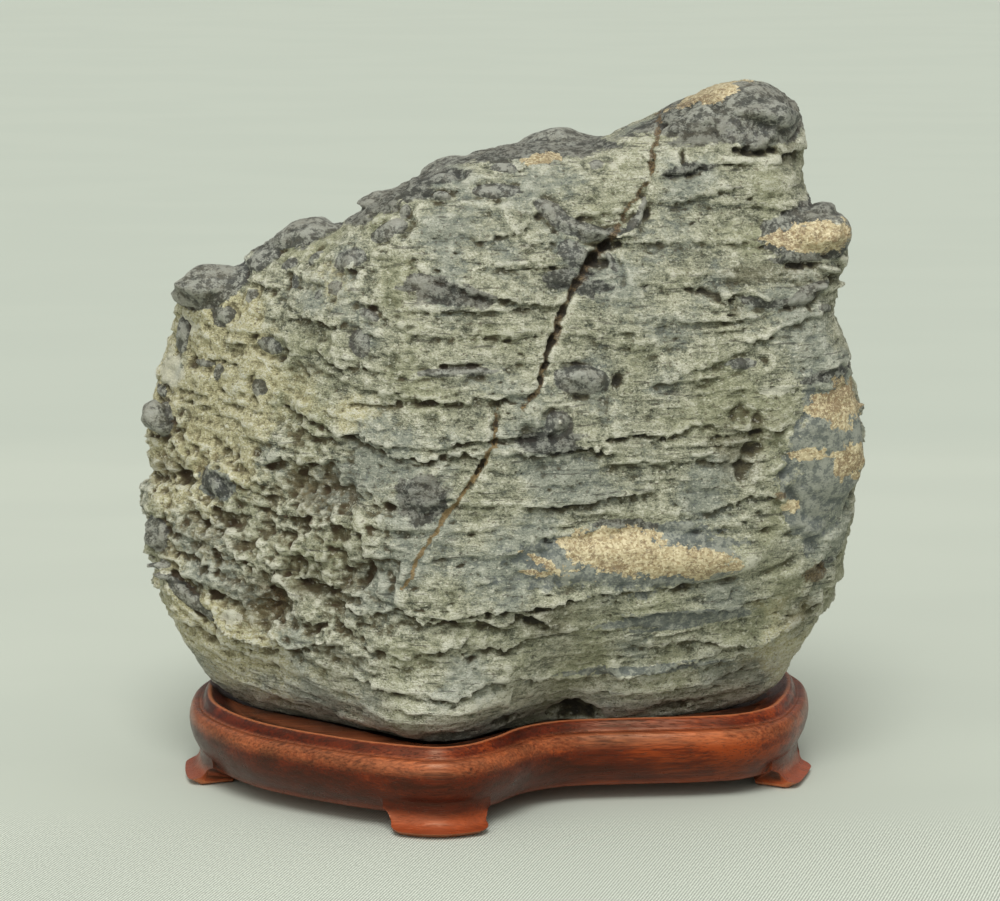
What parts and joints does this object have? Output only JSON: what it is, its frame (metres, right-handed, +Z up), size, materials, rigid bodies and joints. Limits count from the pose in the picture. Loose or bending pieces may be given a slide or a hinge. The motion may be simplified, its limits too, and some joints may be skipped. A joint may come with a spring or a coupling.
{
  "type": "scholars rock on stand",
  "caption": "Foliated grey-green viewing stone with dark nodules and tan lenses, resting in a carved hardwood stand with splayed feet.",
  "frame": {"origin": "centre of the object's box in X and Y, on the surface that the feet stand on", "axes": "+Z up, +X to the right seen from the front of the stone, which faces -Y"},
  "size_m": [0.1796, 0.1088, 0.178],
  "materials": {
    "stone": "rough weathered schist",
    "wood": "satin oiled hardwood"
  },
  "bodies": {
    "root": {"stone": "stone", "stand": "wood"}
  },
  "joints": []
}
